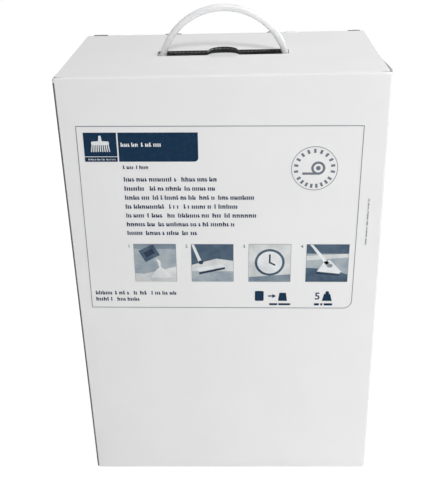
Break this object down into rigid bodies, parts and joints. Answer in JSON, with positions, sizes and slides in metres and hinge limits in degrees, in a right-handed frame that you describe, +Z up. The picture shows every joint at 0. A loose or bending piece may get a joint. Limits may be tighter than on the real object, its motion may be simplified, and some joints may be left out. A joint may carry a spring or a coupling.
{
  "type": "carry carton of powder pouches",
  "caption": "White corrugated carton with a hinged tuck-in lid, an arched carry handle that presses down through a slot, and sealed powder pouches inside.",
  "frame": {"origin": "middle of the base, on the surface the carton stands on", "axes": "+Z up, -Y out of the printed front panel, +X to the right seen from the front"},
  "size_m": [0.24, 0.1454, 0.3928],
  "materials": {
    "white_board": "matt coated white liner",
    "milky_plastic": "milky, slightly see-through polyethylene",
    "pouch_film": "soft film, satin",
    "grey_ink": "matt print",
    "navy_ink": "matt print",
    "white_ink": "matt print",
    "pale_blue_ink": "matt print",
    "dark_ink": "matt print"
  },
  "bodies": {
    "carton": {"carton": "white_board", "pouch_1": "pouch_film", "pouch_2": "pouch_film", "pouch_3": "pouch_film", "pouch_4": "pouch_film", "pouch_5": "pouch_film", "pouch_6": "pouch_film", "pouch_7": "pouch_film", "pouch_8": "pouch_film", "pouch_9": "pouch_film", "pouch_10": "pouch_film", "print_frame": "grey_ink", "print_heading": "navy_ink", "print_heading_mark": "white_ink", "print_words": "navy_ink", "print_pictures": "pale_blue_ink", "print_picture_dark": "dark_ink", "print_picture_light": "white_ink", "print_seal": "grey_ink", "print_signs": "navy_ink"},
    "lid": {"lid": "white_board"},
    "handle": {"handle": "milky_plastic"}
  },
  "joints": [
    {"name": "lid_hinge", "type": "hinge", "parent": "carton", "child": "lid", "pos_m": [0, 0.0725, 0.3546], "axis": [-1, 0, 0], "range_deg": [0, 180]},
    {"name": "handle_slide", "type": "slide", "parent": "lid", "child": "handle", "axis": [0, 0, 1], "range_m": [-0.0306, 0]}
  ]
}
